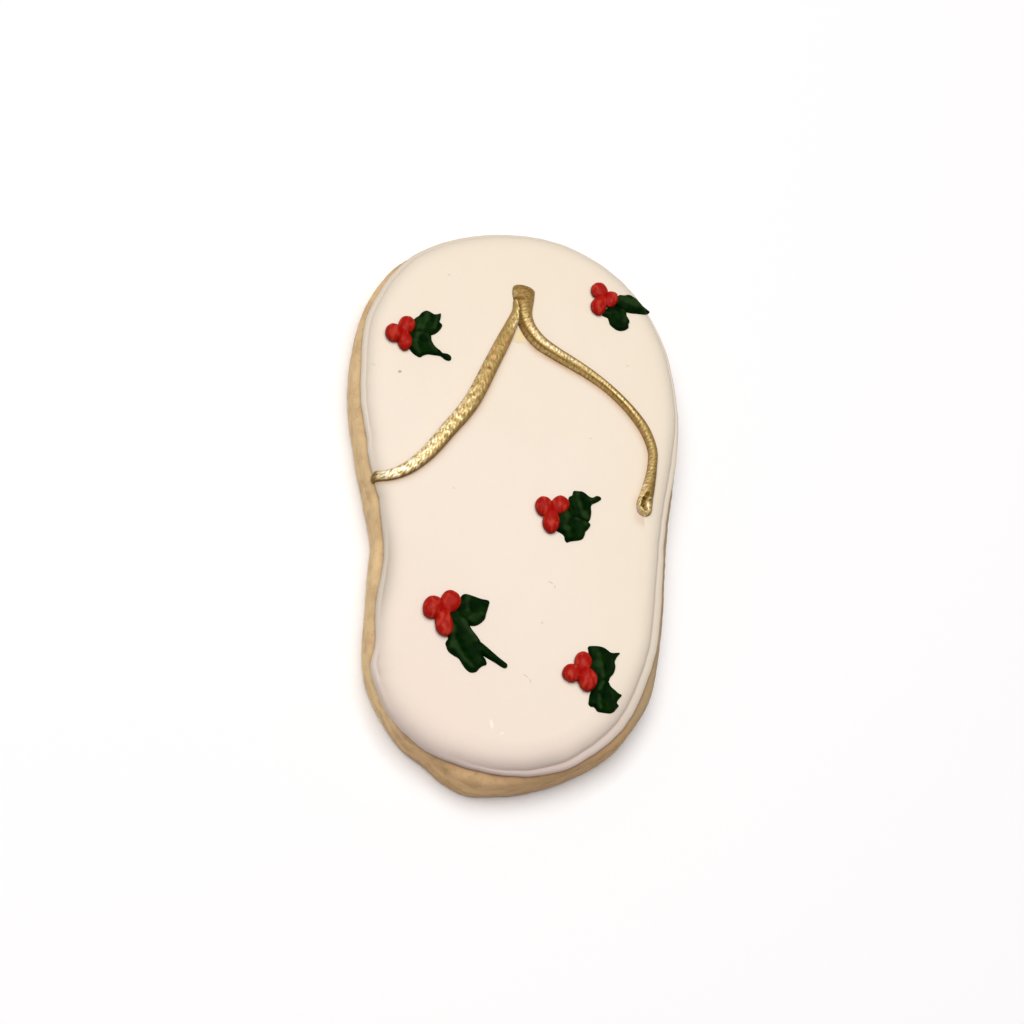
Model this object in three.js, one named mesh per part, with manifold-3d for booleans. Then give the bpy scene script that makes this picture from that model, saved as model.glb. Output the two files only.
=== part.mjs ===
// Iced sugar cookie cut as a sandal: a biscuit, a flooded icing sheet, a piped gold strap
// and five sprigs of holly. Millimetres, +X to the right, +Y to the toe, +Z up.
import * as THREE from 'three';
import { mergeVertices } from 'three/addons/utils/BufferGeometryUtils.js';
import Module from 'manifold-3d';

const wasm = await Module();
wasm.setup();

// ---- driving dimensions ----
const biscuitThick = 6.4;
const biscuitTopRound = 1.5;
const biscuitBottomRound = 0.7;
const icingThick = 2.2;
const icingFootRound = 0.35;
const icingGroove = 0.4;
const icingShoulder = 1.5;
const icingTop = biscuitThick + icingThick;
const pieceGap = 0.15;

// ---- fineness ----
const outlineSteps = 96;
const roundSteps = 3;
const strandSteps = 30;
const tailSteps = 8;
const sectionSteps = 7;
const berrySides = 12;
const leafEdgeSteps = 2;
const weldDistance = 1e-4;

// Landmarks of the two outlines, anticlockwise from the heel.
const biscuitLandmarks = [
  [-6.4, -51.0], [5.6, -49.1], [16.0, -43.4], [22.6, -33.0], [25.1, -18.4], [26.7, -0.6], [28.6, 15.5],
  [26.2, 33.4], [18.7, 44.8], [6.8, 50.7], [-7.4, 50.2], [-19.6, 44.3], [-26.9, 32.6], [-28.6, 19.0],
  [-26.8, 5.6], [-23.9, -9.0], [-24.6, -25.5], [-22.9, -36.6], [-15.4, -46.2], [-10.2, -49.9],
];
const icingLandmarks = [
  [-0.5, -48.5], [9.3, -46.4], [17.8, -39.2], [23.0, -27.0], [24.8, -12.0], [26.6, 1.5], [28.3, 15.5],
  [26.0, 33.0], [18.6, 44.4], [6.7, 50.5], [-7.2, 50.0], [-19.2, 44.1], [-26.2, 32.2], [-27.5, 20.5],
  [-26.1, 8.4], [-24.0, -1.2], [-22.8, -13.0], [-23.8, -25.5], [-22.9, -35.8], [-15.3, -45.2],
];

// The two strands of the strap: centre line, widths and heights at even steps along it.
const leftStrand = {
  path: [[-0.3, 39.0], [-0.9, 34.1], [-2.4, 29.8], [-4.7, 24.6], [-8.7, 15.9], [-12.4, 10.3],
    [-16.1, 5.4], [-19.6, 2.2], [-22.4, 0.9], [-25.0, 0.5]],
  widths: [2.2, 2.2, 2.3, 2.4, 2.4, 2.3, 2.1, 1.9],
  heights: [1.2, 1.2, 1.2, 1.2, 1.2, 1.1, 1.0, 0.8],
};
const rightStrand = {
  path: [[0.3, 39.8], [0.8, 36.4], [0.9, 32.7], [2.5, 29.7], [5.2, 27.5], [8.4, 25.7], [11.5, 23.9],
    [14.8, 21.6], [18.1, 18.9], [20.8, 16.0], [22.3, 13.1], [23.0, 10.0], [22.8, 6.7], [22.2, 3.4],
    [21.6, 0.9], [21.4, -2.0]],
  widths: [3.4, 2.8, 1.8, 1.5, 1.4, 1.3, 1.3, 1.3, 1.6, 2.4],
  heights: [1.6, 1.6, 1.5, 1.4, 1.4, 1.4, 1.3, 1.3, 1.4, 1.2],
};

// Profiles of the toppings, as [share of the radius, share of the height].
const berryProfile = [[0, 0], [0.82, 0], [1, 0.32], [0.87, 0.7], [0.5, 0.94], [0, 1]];
const leafProfile = [[1, 0], [0.96, 0.45], [0.78, 0.85]];
const berryHeightPerRadius = 1.2;
const leafHeight = 0.9;
const tailHeights = [0.6, 0.55, 0.5];

// Holly: berries as [x, y, radius]; a leaf as corners [x, y, bulge of the edge that follows],
// anticlockwise, and on some leaves a pulled tail.
const sprigs = {
  toe_left: {
    berries: [[-22.4, 27.2, 1.4], [-19.8, 29.2, 1.3], [-20.3, 25.7, 1.15]],
    leaves: [
      { corners: [[-14.1, 32.5, 0], [-14.8, 32.3, 0.7], [-18.7, 30.5, 0.1], [-18.4, 28.2, 0],
        [-15.6, 27.9, 0.4], [-13.8, 30.1, 0], [-14.2, 30.8, 0]] },
      { corners: [[-15.9, 27.3, 0.1], [-18.7, 26.8, 0.3], [-18.9, 24.4, 0.5], [-16.8, 23.8, -0.1],
        [-14.2, 24.1, 0], [-13.7, 24.9, 0]],
      tail: { path: [[-15.0, 24.9], [-13.8, 24.4], [-12.4, 23.7]], widths: [0.9, 0.6, 0.9] } },
    ],
  },
  toe_right: {
    berries: [[13.9, 40.2, 1.3], [13.5, 36.9, 1.25], [16.4, 39.1, 1.15]],
    leaves: [
      { corners: [[23.0, 37.6, 0.1], [20.3, 40.2, 0], [19.0, 39.9, 0.1], [17.2, 39.7, 0.1],
        [17.9, 37.6, 0.1], [21.2, 36.7, 0]] },
      { corners: [[18.9, 36.8, 0.1], [15.1, 36.6, 0], [15.7, 34.4, 0.4], [18.6, 33.1, 0.3],
        [19.6, 35.0, 0]] },
    ],
  },
  arch: {
    berries: [[3.8, -2.2, 1.45], [6.9, -1.6, 1.4], [4.9, -5.3, 1.45]],
    leaves: [
      { corners: [[13.9, 0.4, -0.1], [11.9, 0.7, 0.2], [9.3, 1.4, 0.1], [8.3, -0.6, 0], [8.6, -2.4, 0],
        [11.6, -4.0, 0.2], [12.2, -1.0, -0.1]] },
      { corners: [[11.9, -4.5, 0], [8.1, -2.6, 0.1], [6.5, -5.8, 0.1], [7.6, -8.1, 0.1], [10.6, -7.3, 0.1],
        [11.2, -5.8, 0]] },
    ],
  },
  heel_left: {
    berries: [[-14.9, -22.2, 1.55], [-11.7, -20.9, 1.55], [-13.1, -25.2, 1.45]],
    leaves: [
      { corners: [[-5.3, -20.0, 0], [-9.9, -19.1, 0.1], [-10.0, -22.9, 0.2], [-8.4, -24.7, 0.4],
        [-6.0, -23.5, 0]] },
      { corners: [[-9.0, -23.9, 0.1], [-11.4, -24.4, 0.1], [-12.4, -28.2, 0.4], [-10.1, -30.8, 0],
        [-8.7, -32.5, 0.5], [-5.7, -31.1, 0], [-6.3, -28.6, 0]],
      tail: { path: [[-7.2, -28.4], [-5.2, -29.6], [-2.4, -31.3]], widths: [1.4, 0.9, 0.8] } },
    ],
  },
  heel_right: {
    berries: [[10.3, -29.1, 1.4], [8.2, -31.5, 1.4], [11.0, -32.7, 1.5]],
    leaves: [
      { corners: [[16.6, -27.2, 0], [13.9, -26.5, 0.2], [11.5, -26.7, 0], [12.4, -30.0, 0],
        [14.2, -32.0, 0.2], [15.8, -29.6, 0]] },
      { corners: [[16.9, -34.2, 0], [14.2, -32.3, 0.2], [12.0, -33.6, 0.2], [11.5, -36.4, 0],
        [12.9, -37.5, 0.3], [16.1, -36.2, 0]] },
    ],
  },
};

// ---- finishes ----
function finish(color, roughness, metalness = 0) {
  return new THREE.MeshStandardMaterial({ color, roughness, metalness });
}

const finishes = {
  biscuit: () => finish(0xc9a468, 0.85),
  icing: () => finish(0xf6ebdb, 0.55),
  gold: () => finish(0xb8964f, 0.35, 0.85),
  berry: () => finish(0xb8201a, 0.45),
  leaf: () => finish(0x10341a, 0.45),
};

// ---- shapes ----
// A closed surface from its vertices and triangles.
function closedGeometry(vertices, triangles) {
  const geometry = new THREE.BufferGeometry();
  geometry.setAttribute('position', new THREE.Float32BufferAttribute(vertices.flat(), 3));
  geometry.setIndex(triangles.flat());
  return geometry;
}

// Rings of equal count stacked into one surface, closed by a fan to a point at each end.
function stackRings(rings, firstPoint, lastPoint) {
  const count = rings[0].length;
  const vertices = [...rings.flat(), firstPoint, lastPoint];
  const first = rings.length * count;
  const lastRing = first - count;
  const triangles = [];
  for (let j = 0; j < count; j += 1) {
    const k = (j + 1) % count;
    for (let row = 0; row < lastRing; row += count) {
      triangles.push([row + j, row + k, row + count + k], [row + j, row + count + k, row + count + j]);
    }
    triangles.push([first, k, j], [first + 1, lastRing + j, lastRing + k]);
  }
  return closedGeometry(vertices, triangles);
}

// A smooth closed outline through the landmarks, as evenly spaced points.
function smoothOutline(landmarks) {
  const points = landmarks.map(([x, y]) => new THREE.Vector3(x, y, 0));
  const curve = new THREE.CatmullRomCurve3(points, true, 'centripetal');
  curve.arcLengthDivisions = 20 * outlineSteps;
  return curve.getSpacedPoints(outlineSteps).slice(0, outlineSteps);
}

// The outline moved inwards along its own normals.
function insetOutline(outline, inset, z) {
  const count = outline.length;
  return outline.map((point, i) => {
    const along = outline[(i + 1) % count].clone().sub(outline[(i + count - 1) % count]).normalize();
    return [point.x - along.y * inset, point.y + along.x * inset, z];
  });
}

// A slab whose wall follows a profile of [inset, z] pairs, with flat faces below and above.
function slab(outline, profile) {
  const rings = profile.map(([inset, z]) => insetOutline(outline, inset, z));
  return stackRings(rings, [0, 0, profile[0][1]], [0, 0, profile.at(-1)[1]]);
}

// Part of an ellipse as [inset, z] pairs, from one angle to another in degrees; 0 is outwards.
// The ellipse's outermost point is at the given inset.
function roundEdge({ inset = 0, centreZ, across, up = across, from, to }) {
  return Array.from({ length: roundSteps + 1 }, (_, i) => {
    const angle = THREE.MathUtils.degToRad(THREE.MathUtils.lerp(from, to, i / roundSteps));
    return [inset + across * (1 - Math.cos(angle)), centreZ + up * Math.sin(angle)];
  });
}

function biscuitShape() {
  const topCentre = biscuitThick - biscuitTopRound;
  return slab(smoothOutline(biscuitLandmarks), [
    ...roundEdge({ centreZ: biscuitBottomRound, across: biscuitBottomRound, from: -90, to: 0 }),
    ...roundEdge({ centreZ: topCentre, across: biscuitTopRound, from: 0, to: 90 }),
  ]);
}

// The icing spreads to a thin round foot, then a groove, then rises in a rounded shoulder.
function icingShape() {
  const footCentre = biscuitThick + icingFootRound;
  const grooveZ = footCentre + icingFootRound;
  const shoulderRise = icingTop - grooveZ;
  return slab(smoothOutline(icingLandmarks), [
    ...roundEdge({ centreZ: footCentre, across: icingFootRound, from: -90, to: 45 }),
    ...roundEdge({
      inset: icingGroove, centreZ: grooveZ, across: icingShoulder, up: shoulderRise, from: 0, to: 90,
    }),
  ]);
}

// The value at s (0 to 1) of a quantity given at even steps.
function sample(values, s) {
  const place = s * (values.length - 1);
  const i = Math.min(Math.floor(place), values.length - 2);
  return THREE.MathUtils.lerp(values[i], values[i + 1], place - i);
}

// A piped line: a flat-bottomed round-topped section carried along a path, closing at both ends.
function pipedLine({ path, widths, heights }, steps) {
  const curve = new THREE.CatmullRomCurve3(path.map(([x, y]) => new THREE.Vector3(x, y, 0)));
  const length = curve.getLength();
  const place = (s, across, up) => {
    const point = curve.getPointAt(s);
    const along = curve.getTangentAt(s);
    return [point.x + along.y * across, point.y - along.x * across, icingTop + up];
  };
  const rings = [];
  for (let i = 1; i < steps; i += 1) {
    const s = (1 - Math.cos((Math.PI * i) / steps)) / 2;
    const half = sample(widths, s) / 2;
    const fromEnd = Math.min(1, (Math.min(s, 1 - s) * length) / half);
    const endRound = Math.sqrt(1 - (1 - fromEnd) ** 2);
    const height = sample(heights, s) * endRound;
    const ring = [];
    for (let k = 0; k <= sectionSteps; k += 1) {
      const angle = (Math.PI * k) / sectionSteps;
      ring.push(place(s, -half * endRound * Math.cos(angle), height * Math.sin(angle)));
    }
    rings.push(ring);
  }
  return stackRings(rings, place(0, 0, 0), place(1, 0, 0));
}

// A piped dot: flat below, widest a little above the icing, domed on top.
function berryShape(radius, height) {
  const points = berryProfile.map(([r, z]) => new THREE.Vector2(r * radius, z * height));
  return new THREE.LatheGeometry(points, berrySides).rotateX(Math.PI / 2);
}

// The corners joined by edges that bulge outwards, or are scooped where the bulge is negative.
function leafOutline(corners) {
  return corners.flatMap(([x, y, bulge], i) => {
    const [nextX, nextY] = corners[(i + 1) % corners.length];
    const start = new THREE.Vector2(x, y);
    const end = new THREE.Vector2(nextX, nextY);
    const along = end.clone().sub(start).normalize();
    const outwards = new THREE.Vector2(along.y, -along.x);
    const control = start.clone().add(end).multiplyScalar(0.5).addScaledVector(outwards, 2 * bulge);
    const edge = new THREE.QuadraticBezierCurve(start, control, end);
    return edge.getPoints(leafEdgeSteps).slice(0, leafEdgeSteps);
  });
}

// A low mound over a leaf's outline: steep at its edge, nearly flat along the middle.
// The outline is widened all round by the spare.
function leafShape(corners, height, spare) {
  const outline = leafOutline(corners);
  const middle = outline.reduce((sum, p) => sum.add(p), new THREE.Vector2()).divideScalar(outline.length);
  const rings = leafProfile.map(([spread, rise]) => outline.map((p) => {
    const q = middle.clone().lerp(p, spread + spare / middle.distanceTo(p));
    return [q.x, q.y, icingTop + rise * height];
  }));
  return stackRings(rings, [middle.x, middle.y, icingTop], [middle.x, middle.y, icingTop + height]);
}

// ---- joins and cuts ----
function toSolid(geometry) {
  const bare = geometry.clone();
  bare.deleteAttribute('normal');
  bare.deleteAttribute('uv');
  const welded = mergeVertices(bare, weldDistance);
  return new wasm.Manifold(new wasm.Mesh({
    numProp: 3,
    vertProperties: new Float32Array(welded.attributes.position.array),
    triVerts: new Uint32Array(welded.index.array),
  }));
}

function toGeometry(solid) {
  const mesh = solid.getMesh();
  const geometry = new THREE.BufferGeometry();
  geometry.setAttribute('position', new THREE.BufferAttribute(mesh.vertProperties, mesh.numProp));
  geometry.setIndex(new THREE.BufferAttribute(mesh.triVerts, 1));
  return geometry;
}

// ---- the object ----
function named(name, geometry, material) {
  const mesh = new THREE.Mesh(geometry, material);
  mesh.name = name;
  return mesh;
}

// The two strands are piped wet, so they dry as one piece.
function strapShape() {
  const left = toSolid(pipedLine(leftStrand, strandSteps));
  return toGeometry(left.add(toSolid(pipedLine(rightStrand, strandSteps))));
}

function placedBerry([x, y, radius], spare = 0) {
  return berryShape(radius + spare, berryHeightPerRadius * radius + spare).translate(x, y, icingTop);
}

function leafSolid({ corners, tail }, spare = 0) {
  const body = toSolid(leafShape(corners, leafHeight + spare, spare));
  return tail ? body.add(toSolid(pipedLine({ heights: tailHeights, ...tail }, tailSteps))) : body;
}

// A sprig: three berries, then the leaves, each cut clear of what was piped before it.
function sprigGroup(name, { berries, leaves }) {
  const group = new THREE.Group();
  berries.forEach((berry, i) => {
    group.add(named(`${name}_berry_${i + 1}`, placedBerry(berry), finishes.berry()));
  });
  const clearances = berries.map((berry) => toSolid(placedBerry(berry, pieceGap)));
  leaves.forEach((leaf, i) => {
    const solid = clearances.reduce((cut, clearance) => cut.subtract(clearance), leafSolid(leaf));
    group.add(named(`${name}_leaf_${i + 1}`, toGeometry(solid), finishes.leaf()));
    clearances.push(leafSolid(leaf, pieceGap));
  });
  return group;
}

const cookie = new THREE.Group();
cookie.add(named('biscuit', biscuitShape(), finishes.biscuit()));
cookie.add(named('icing', icingShape(), finishes.icing()));
cookie.add(named('strap', strapShape(), finishes.gold()));
Object.entries(sprigs).forEach(([name, sprig]) => cookie.add(sprigGroup(name, sprig)));

export default cookie;
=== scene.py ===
import bpy
import numpy as np
from mathutils import Matrix, Vector


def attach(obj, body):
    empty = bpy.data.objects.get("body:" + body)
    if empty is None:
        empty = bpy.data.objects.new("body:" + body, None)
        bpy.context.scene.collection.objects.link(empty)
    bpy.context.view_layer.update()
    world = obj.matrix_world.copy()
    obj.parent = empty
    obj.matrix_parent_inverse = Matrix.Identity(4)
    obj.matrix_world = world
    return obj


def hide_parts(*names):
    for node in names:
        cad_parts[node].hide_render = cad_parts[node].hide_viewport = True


# Iced sugar cookie cut as a sandal: biscuit, flooded icing, piped gold strap, five holly sprigs.
# Dictionaries are in millimetres, the meshes in metres. +X right, +Y to the toe, +Z up.
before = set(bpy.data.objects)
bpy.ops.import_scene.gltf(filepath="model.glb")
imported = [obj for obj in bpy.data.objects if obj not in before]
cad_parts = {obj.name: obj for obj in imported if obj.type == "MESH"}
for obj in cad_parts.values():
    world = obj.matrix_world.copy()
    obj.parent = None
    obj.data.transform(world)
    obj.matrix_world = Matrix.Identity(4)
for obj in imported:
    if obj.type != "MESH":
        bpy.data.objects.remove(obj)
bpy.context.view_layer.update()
mm = 0.001
biscuitThick = 6.4
icingRise = 2.2
print("frame loaded")


# Centripetal Catmull-Rom curve through the points, sampled at even steps of its length.
# Columns after the first two (x, y) are carried along with the same weights.
def smoothCurve(points, steps, closed=False):
    p = np.array(points, float)
    if closed:
        p = np.vstack([p[-1:], p, p[:2]])
    else:
        p = np.vstack([2 * p[:1] - p[1:2], p, 2 * p[-1:] - p[-2:-1]])
    a, b, c, d = p[:-3], p[1:-2], p[2:-1], p[3:]
    ab, bc, cd = (np.linalg.norm((v - u)[:, :2], axis=1)[:, None] ** 0.5 for u, v in ((a, b), (b, c), (c, d)))
    startSlope = ((b - a) / ab - (c - a) / (ab + bc) + (c - b) / bc) * bc
    endSlope = ((c - b) / bc - (d - b) / (bc + cd) + (d - c) / cd) * bc
    t = np.linspace(0, 1, 40, endpoint=False)[:, None]
    squared = (-3 * b + 3 * c - 2 * startSlope - endSlope)[:, None]
    cubed = (2 * b - 2 * c + startSlope + endSlope)[:, None]
    fine = (b[:, None] + startSlope[:, None] * t + squared * t ** 2 + cubed * t ** 3).reshape(-1, p.shape[1])
    fine = np.vstack([fine, c[-1:]])
    length = np.concatenate([[0], np.cumsum(np.linalg.norm(np.diff(fine[:, :2], axis=0), axis=1))])
    places = np.linspace(0, length[-1], steps, endpoint=not closed)
    return np.stack([np.interp(places, length, column) for column in fine.T], axis=1)


# Values given at even steps, read at the shares s (0 to 1).
def along(values, s):
    return np.interp(s, np.linspace(0, 1, len(values)), values)


# Soft noise: a sum of waves in random directions, each about `size` long, scaled to about -1 to 1.
def ripple(points, size, seed, waves=24):
    random = np.random.default_rng(seed)
    axes = random.normal(size=(waves, points.shape[-1]))
    axes /= np.linalg.norm(axes, axis=1)[:, None]
    lengths = size * random.uniform(0.7, 1.5, waves)
    phases = random.uniform(0, 2 * np.pi, waves)
    heights = np.sin(points @ (axes / lengths[:, None]).T * 2 * np.pi + phases)
    return heights.sum(-1) / np.sqrt(waves / 2) * 0.6


# 0 below the start, 1 past the end, smooth between.
def smoothStep(start, end, value):
    t = np.clip((value - start) / (end - start), 0, 1)
    return t * t * (3 - 2 * t)


# Unit normals of a closed outline that runs anticlockwise, pointing outwards.
def outwards(outline):
    tangent = np.roll(outline, -1, axis=0) - np.roll(outline, 1, axis=0)
    normal = np.stack([tangent[:, 1], -tangent[:, 0]], axis=1)
    return normal / np.linalg.norm(normal, axis=1)[:, None]


# Distance from each point to the nearest outline point, and that point's number.
def nearest(points, outline):
    flat = points.reshape(-1, 2)
    found = np.empty(len(flat), int)
    distance = np.empty(len(flat))
    batch = 4000  # keeps the table of distances small
    for start in range(0, len(flat), batch):
        gap = np.linalg.norm(flat[start:start + batch, None] - outline[None], axis=2)
        found[start:start + batch] = gap.argmin(1)
        distance[start:start + batch] = gap.min(1)
    return distance.reshape(points.shape[:-1]), found.reshape(points.shape[:-1])


# A bell around a point: 1 at (x, y), falling with the square of the distance over the reach.
def bell(points, x, y, reach):
    return np.exp(-(np.linalg.norm(points - [x, y], axis=-1) / reach) ** 2)


def addObject(name, data):
    made = bpy.data.objects.new(name, data)
    bpy.context.scene.collection.objects.link(made)
    return made


# A value at every point of a shell's grid, then at its first and its last pole.
def withPoles(values, first=0, last=0):
    return np.append(values.ravel(), [first, last])


# A mesh object from shells. A shell is a grid of rows, each a closed ring, with a pole at each end;
# rings run anticlockwise seen from the last pole, so that the faces point outwards.
def shellObject(name, shells, material, attributes=None):
    vertices, faces, base = [], [], 0
    for grid, firstPole, lastPole in shells:
        rows, columns = grid.shape[:2]
        index = base + np.arange(rows * columns).reshape(rows, columns)
        turned = np.roll(index, -1, axis=1)
        quads = np.stack([index[:-1], turned[:-1], turned[1:], index[1:]], axis=-1).reshape(-1, 4)
        first = np.full(columns, base + rows * columns)
        firstFan = np.stack([first, turned[0], index[0]], axis=-1)
        lastFan = np.stack([first + 1, index[-1], turned[-1]], axis=-1)
        vertices += [grid.reshape(-1, 3), np.array([firstPole, lastPole], float)]
        faces += quads.tolist() + firstFan.tolist() + lastFan.tolist()
        base += rows * columns + 2
    mesh = bpy.data.meshes.new(name)
    mesh.from_pydata((np.concatenate(vertices) * mm).tolist(), [], faces)
    mesh.polygons.foreach_set("use_smooth", np.ones(len(mesh.polygons), bool))
    for key, values in (attributes or {}).items():
        layer = mesh.attributes.new(key, "FLOAT", "POINT")
        layer.data.foreach_set("value", np.asarray(values, np.float32).ravel())
    mesh.materials.append(material)
    mesh.update()
    return addObject(name, mesh)


# A piece rides on the cookie and stands for a CAD node, which is hidden.
def placePiece(piece, slot, *nodes):
    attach(piece, "root")
    if nodes:
        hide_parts(*nodes)


# A colour given as it looks on a screen (0 to 255), as the linear value that shaders take. A socket
# stays as it is.
def tint(colour):
    if isinstance(colour, bpy.types.NodeSocket):
        return colour
    screen = np.array(colour) / 255
    linear = np.where(screen <= 0.04045, screen / 12.92, ((screen + 0.055) / 1.055) ** 2.4)
    return (*linear.tolist(), 1.0)


def newMaterial(name, settings):
    material = bpy.data.materials.new(name)
    material.use_nodes = True
    shader = material.node_tree.nodes["Principled BSDF"]
    for socket, value in settings.items():
        shader.inputs[socket].default_value = value
    return material, material.node_tree, shader


# A node with its settings; an input given as a socket is linked.
def addNode(tree, kind, inputs=None, **settings):
    made = tree.nodes.new("ShaderNode" + kind)
    for key, value in settings.items():
        setattr(made, key, value)
    for key, value in (inputs or {}).items():
        if isinstance(value, bpy.types.NodeSocket):
            tree.links.new(value, made.inputs[key])
        else:
            made.inputs[key].default_value = value
    return made


def objectPlace(tree):
    return addNode(tree, "TexCoord").outputs["Object"]


# The place on the cookie along each axis, in millimetres.
def placeAxes(tree):
    place = addNode(tree, "VectorMath", {0: objectPlace(tree), 1: (1 / mm,) * 3}, operation="MULTIPLY")
    return addNode(tree, "SeparateXYZ", {"Vector": place.outputs["Vector"]}).outputs


# Soft noise with features about `size` millimetres across.
def grain(tree, size, detail=3.0, stretch=None):
    place = objectPlace(tree)
    if stretch:
        place = addNode(tree, "Mapping", {"Vector": place, "Scale": stretch}).outputs["Vector"]
    noise = addNode(tree, "TexNoise", {"Vector": place, "Scale": 1 / (size * mm), "Detail": detail})
    return noise.outputs["Fac"]


# A value moved from one range to another, smooth at both ends.
def remap(tree, value, fromLow, fromHigh, toLow=0.0, toHigh=1.0):
    inputs = {"Value": value, "From Min": fromLow, "From Max": fromHigh, "To Min": toLow, "To Max": toHigh}
    return addNode(tree, "MapRange", inputs, interpolation_type="SMOOTHSTEP").outputs["Result"]


# The second colour laid over the first by a share.
def mixColour(tree, share, first, second):
    inputs = {0: share, 6: tint(first), 7: tint(second)}  # the node's share and its two colours
    return addNode(tree, "Mix", inputs, data_type="RGBA").outputs[2]


# Tones of a piece laid over a colour one after another, each by its share: heel=... lays "heelTone".
def layTones(tree, colour, piece, **shares):
    for name, share in shares.items():
        colour = mixColour(tree, share, colour, piece[name + "Tone"])
    return colour


def combine(tree, operation, first, second):
    return addNode(tree, "Math", {0: first, 1: second}, operation=operation).outputs["Value"]


def times(tree, first, second):
    return combine(tree, "MULTIPLY", first, second)


def readAttribute(tree, name):
    return addNode(tree, "Attribute", attribute_name=name).outputs["Fac"]


def addBump(tree, shader, height, depth, strength):
    bump = addNode(tree, "Bump", {"Height": height, "Distance": depth * mm, "Strength": strength})
    tree.links.new(bump.outputs["Normal"], shader.inputs["Normal"])


biscuit = {
    # landmarks of the cut outline, anticlockwise from the heel
    "landmarks": [
        (-6.4, -50.8), (5.5, -48.78), (15.8, -43.15), (19.85, -38.6), (22.85, -33.05), (25.35, -18.4),
        (25.95, -10), (26.85, -0.6), (27.5, 3.6), (28.65, 15.5), (26.2, 33.4), (18.7, 44.8), (6.8, 50.7),
        (-7.4, 50.2), (-19.5, 44.2), (-24.05, 39), (-26.95, 32.6), (-28.5, 19), (-26.75, 5.6),
        (-23.9, -8.8), (-24.15, -12.9), (-24.4, -16.4), (-24.55, -22), (-24.8, -26.2), (-24.65, -30.4),
        (-23.7, -34.8), (-20.1, -41.3), (-17.5, -44.25), (-14.4, -46.4), (-10.8, -49.3)],
    # the wall from the underside to the top, as inset from the outline and height
    "profile": [
        (8, 0), (1.6, 0), (0.75, 0.05), (0.3, 0.3), (0.08, 0.8), (0, 1.8), (0.02, 3.2), (0.05, 4.7),
        (0.16, 5.45), (0.48, 5.98), (1, 6.27), (1.9, 6.38), (4.6, 6.4)],
    "around": 900,
    "profileSteps": 64,
    "unevenEdge": 0.045,  # soft waver of the cut edge
    "crumb": 0.03,        # relief of the baked surface
    "pore": 0.05,         # depth of the small holes
    "contactReach": 0.75,
    "wallTone": (217, 180, 130),
    "topTone": (206, 171, 127),
    "footTone": (200, 161, 114),
    "paleTone": (236, 205, 153),    # painted light, paler on the left side
    "heelTone": (180, 145, 102),    # painted shade, browner towards the right of the heel
    "sideTone": (171, 154, 121),    # painted shade, greyer along the right side
    "blushTone": (210, 168, 134),
    "mottleTone": (188, 152, 106),
    "layerTone": (150, 118, 72),    # streaks of the rolled dough
    "lightLayerTone": (210, 168, 134),
    "contactTone": (140, 112, 88),  # painted shade, darker right beside the icing
    # painted shade in the small holes
    "poreTone": (160, 120, 80),
    "heelShare": 0.7,
    "sideShare": 0.8,
    "layerShares": (0.12, 0.34),    # at the sides, at the heel
    "contactShare": 0.38,
}

biscuitOutline = smoothCurve(biscuit["landmarks"], biscuit["around"], closed=True)


# The outline moved in along its normals by the profile's inset, at the profile's height, then pushed
# out of the surface by soft noise. The underside and the top are closed by fans to their middles.
def makeBiscuit(material):
    profile = smoothCurve(biscuit["profile"], biscuit["profileSteps"])
    normal = outwards(biscuitOutline)
    xy = biscuitOutline[None] - normal[None] * profile[:, 0][:, None, None]
    z = np.broadcast_to(profile[:, 1][:, None], xy.shape[:2])
    grid = np.dstack([xy, z])
    slope = np.gradient(profile, axis=0)
    slope /= np.linalg.norm(slope, axis=1)[:, None]
    push = np.dstack([normal[None] * slope[:, 1][:, None, None],
                      np.broadcast_to(slope[:, 0][:, None], xy.shape[:2])])
    aboveFloor = smoothStep(0.0, 0.7, z)  # the relief fades out towards the underside
    crumb = biscuit["crumb"]
    relief = (biscuit["unevenEdge"] * ripple(grid * [1, 1, 0.3], 7.0, 3)
              + crumb * ripple(grid, 1.6, 4)
              + 0.5 * crumb * ripple(grid * [0.5, 0.5, 1.6], 1.1, 5)
              + 0.3 * crumb * ripple(grid, 0.6, 6))
    pores = smoothStep(0.95, 1.5, ripple(grid, 1.0, 7))
    relief = relief * aboveFloor - biscuit["pore"] * pores * (0.35 + 0.65 * aboveFloor)
    relief[z < 0.04] = np.abs(relief[z < 0.04])  # no pores in the underside
    grid = grid + push * relief[..., None]
    grid[..., 2] = np.maximum(grid[..., 2], 0)  # nothing reaches below the resting plane
    # painted shade on the biscuit right beside the icing's foot
    fromIcing = nearest(grid[..., :2], icingOutline)[0]
    contact = np.exp(-(fromIcing / biscuit["contactReach"]) ** 1.5) * smoothStep(5.0, 5.9, z)
    layers = {"pore": withPoles(pores), "contact": withPoles(contact)}
    made = shellObject("bakedBiscuit", [(grid, (0, 0, 0), (0, 0, biscuitThick))], material, layers)
    placePiece(made, "baked_dough", "biscuit")


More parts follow.
